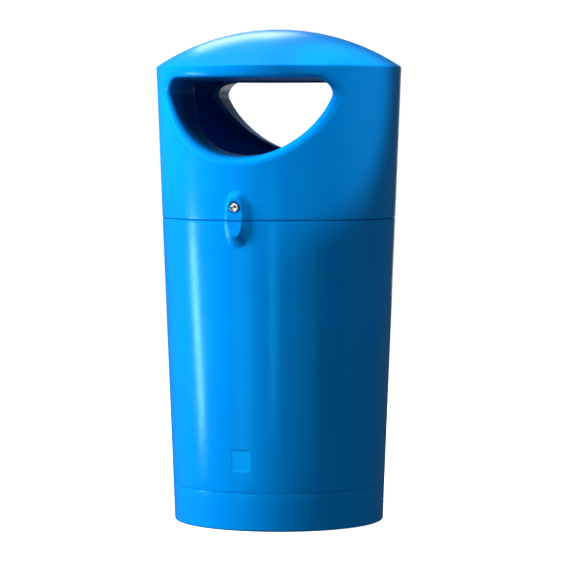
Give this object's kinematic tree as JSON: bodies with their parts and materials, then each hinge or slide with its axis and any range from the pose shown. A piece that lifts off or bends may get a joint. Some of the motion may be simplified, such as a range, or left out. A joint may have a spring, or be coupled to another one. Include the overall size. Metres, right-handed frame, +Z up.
{
  "type": "hooded litter bin",
  "caption": "Round tapered outdoor bin with a domed see-through hood hinged at the rear, a key-turned cam lock, a ballasted plinth and a lift-out metal liner.",
  "frame": {"origin": "on the ground at the centre of the plinth's underside", "axes": "+Z up along the bin's axis, -Y out through the front aperture and the lock, +X to the right when facing +Y"},
  "size_m": [0.5102, 0.5272, 1.0226],
  "materials": {
    "hood_plastic": "rotomoulded polyethylene, satin, fine orange peel",
    "body_plastic": "rotomoulded polyethylene, semi-gloss",
    "galvanised": "hot-dip galvanised, dull spangle",
    "stainless": "brushed stainless steel",
    "chrome": "bright chrome",
    "zinc": "zinc-plated",
    "cast_iron": "rough black-painted casting"
  },
  "bodies": {
    "base": {"ballast_plate": "cast_iron", "base_plinth": "body_plastic", "body_shell": "body_plastic", "hinge_body_screw_1": "stainless", "hinge_body_screw_2": "stainless", "hinge_leaf_body": "stainless", "hinge_pin": "stainless", "plinth_bolt_1": "zinc", "plinth_bolt_2": "zinc", "plinth_bolt_3": "zinc", "plinth_bolt_4": "zinc", "plinth_nut_1": "zinc", "plinth_nut_2": "zinc", "plinth_nut_3": "zinc", "plinth_nut_4": "zinc", "strike_plate": "zinc", "strike_screw_1": "zinc", "strike_screw_2": "zinc"},
    "hood": {"hinge_hood_screw_1": "stainless", "hinge_hood_screw_2": "stainless", "hinge_leaf_hood": "stainless", "hood_shell": "hood_plastic", "lock_barrel": "chrome", "lock_nut": "zinc"},
    "lock": {"lock_spindle": "chrome", "lock_cam": "zinc", "cam_screw": "zinc"},
    "liner": {"handle_ear_left_front": "galvanised", "handle_ear_left_front_rivet_1": "zinc", "handle_ear_left_front_rivet_2": "zinc", "handle_ear_left_rear": "galvanised", "handle_ear_left_rear_rivet_1": "zinc", "handle_ear_left_rear_rivet_2": "zinc", "handle_ear_right_front": "galvanised", "handle_ear_right_front_rivet_1": "zinc", "handle_ear_right_front_rivet_2": "zinc", "handle_ear_right_rear": "galvanised", "handle_ear_right_rear_rivet_1": "zinc", "handle_ear_right_rear_rivet_2": "zinc", "liner_bucket": "galvanised"},
    "handle_left": {"liner_handle_left": "galvanised"},
    "handle_right": {"liner_handle_right": "galvanised"}
  },
  "joints": [
    {"name": "hood_hinge", "type": "hinge", "parent": "base", "child": "hood", "pos_m": [0, 0.2623, 0.6316], "axis": [-1, 0, 0], "range_deg": [0, 100]},
    {"name": "lock_turn", "type": "hinge", "parent": "hood", "child": "lock", "pos_m": [0, -0.2575, 0.6602], "axis": [0, 1, 0], "range_deg": [0, 90]},
    {"name": "liner_lift", "type": "slide", "parent": "base", "child": "liner", "axis": [0, 0, 1], "range_m": [0, 0.12]},
    {"name": "handle_left_swing", "type": "hinge", "parent": "liner", "child": "handle_left", "pos_m": [-0.179, 0, 0.59], "axis": [0, -1, 0], "range_deg": [0, 170]},
    {"name": "handle_right_swing", "type": "hinge", "parent": "liner", "child": "handle_right", "pos_m": [0.179, 0, 0.59], "axis": [0, 1, 0], "range_deg": [0, 170]}
  ]
}
